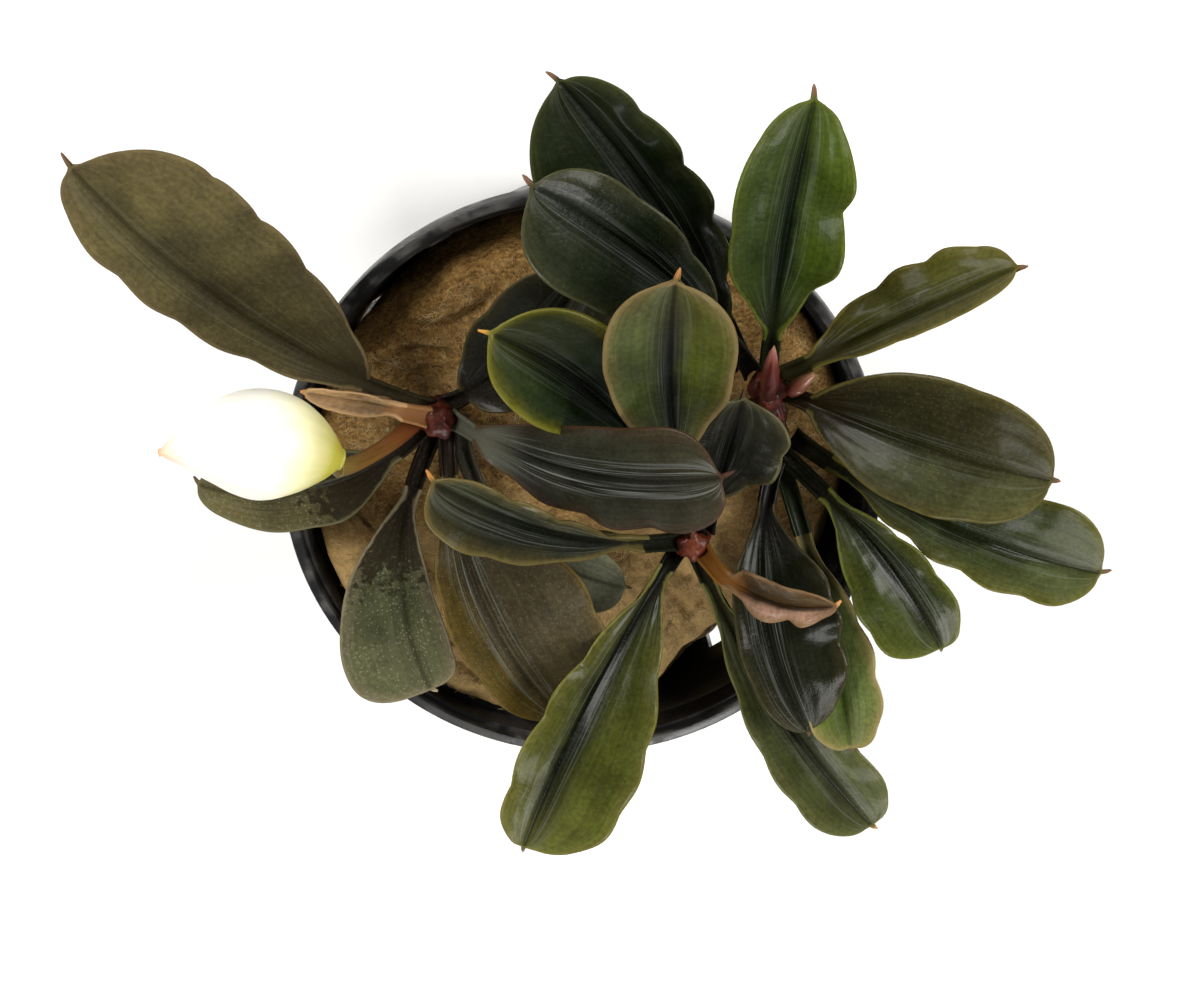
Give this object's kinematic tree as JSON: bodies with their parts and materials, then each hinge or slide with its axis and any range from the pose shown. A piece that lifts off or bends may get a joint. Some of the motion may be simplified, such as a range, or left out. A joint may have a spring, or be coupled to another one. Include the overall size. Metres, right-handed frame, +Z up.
{
  "type": "potted bucephalandra",
  "caption": "Small aquarium plant with dark green oval leaves, a closed white flower and a slotted black pot filled with mineral wool.",
  "frame": {"origin": "middle of the pot's underside, on the surface that the pot stands on", "axes": "+Z up along the pot's own axis; +X towards the leaves of the right-hand crown; +Y to the back, from where the plant is looked down on"},
  "size_m": [0.081, 0.0688, 0.0657],
  "materials": {
    "pot_plastic": "satin black moulded polypropylene",
    "mineral_wool": "matted golden-brown fibres, wet and stained",
    "stem_red": "satin brick-red stem",
    "leaf_dark": "glossy blackish green with a thin pale margin",
    "leaf_green": "glossy fresh green with a dark midrib",
    "leaf_olive": "matte grey-olive with fine pale dots",
    "leaf_brown": "satin olive brown",
    "spathe_white": "satin white, yellow-green at the foot and peach at the beak",
    "flower_stalk": "satin orange-brown"
  },
  "bodies": {
    "root": {"pot": "pot_plastic", "wool_plug": "mineral_wool", "crown_left": "stem_red", "crown_right": "stem_red", "crown_front": "stem_red", "leaf_left_long": "leaf_olive", "leaf_left_sliver": "leaf_brown", "leaf_left_under_flower": "leaf_olive", "leaf_left_spotted": "leaf_olive", "leaf_left_brown": "leaf_brown", "leaf_left_arching": "leaf_dark", "leaf_left_shaded": "leaf_dark", "leaf_left_low": "leaf_olive", "leaf_right_tall": "leaf_dark", "leaf_right_leaning": "leaf_dark", "leaf_right_green": "leaf_green", "leaf_right_edgewise": "leaf_green", "leaf_right_broad": "leaf_brown", "leaf_right_under": "leaf_green", "leaf_right_dark": "leaf_dark", "leaf_right_folded": "leaf_green", "leaf_right_shining": "leaf_dark", "leaf_front_low": "leaf_green", "leaf_front_long": "leaf_green", "leaf_front_curled": "leaf_dark", "leaf_front_cupped": "leaf_green", "leaf_front_upright": "leaf_green", "leaf_front_shaded": "leaf_dark", "leaf_front_young": "leaf_brown", "bud_tall": "stem_red", "bud_short": "stem_red", "flower_stalk": "flower_stalk", "spathe": "spathe_white"}
  },
  "joints": []
}
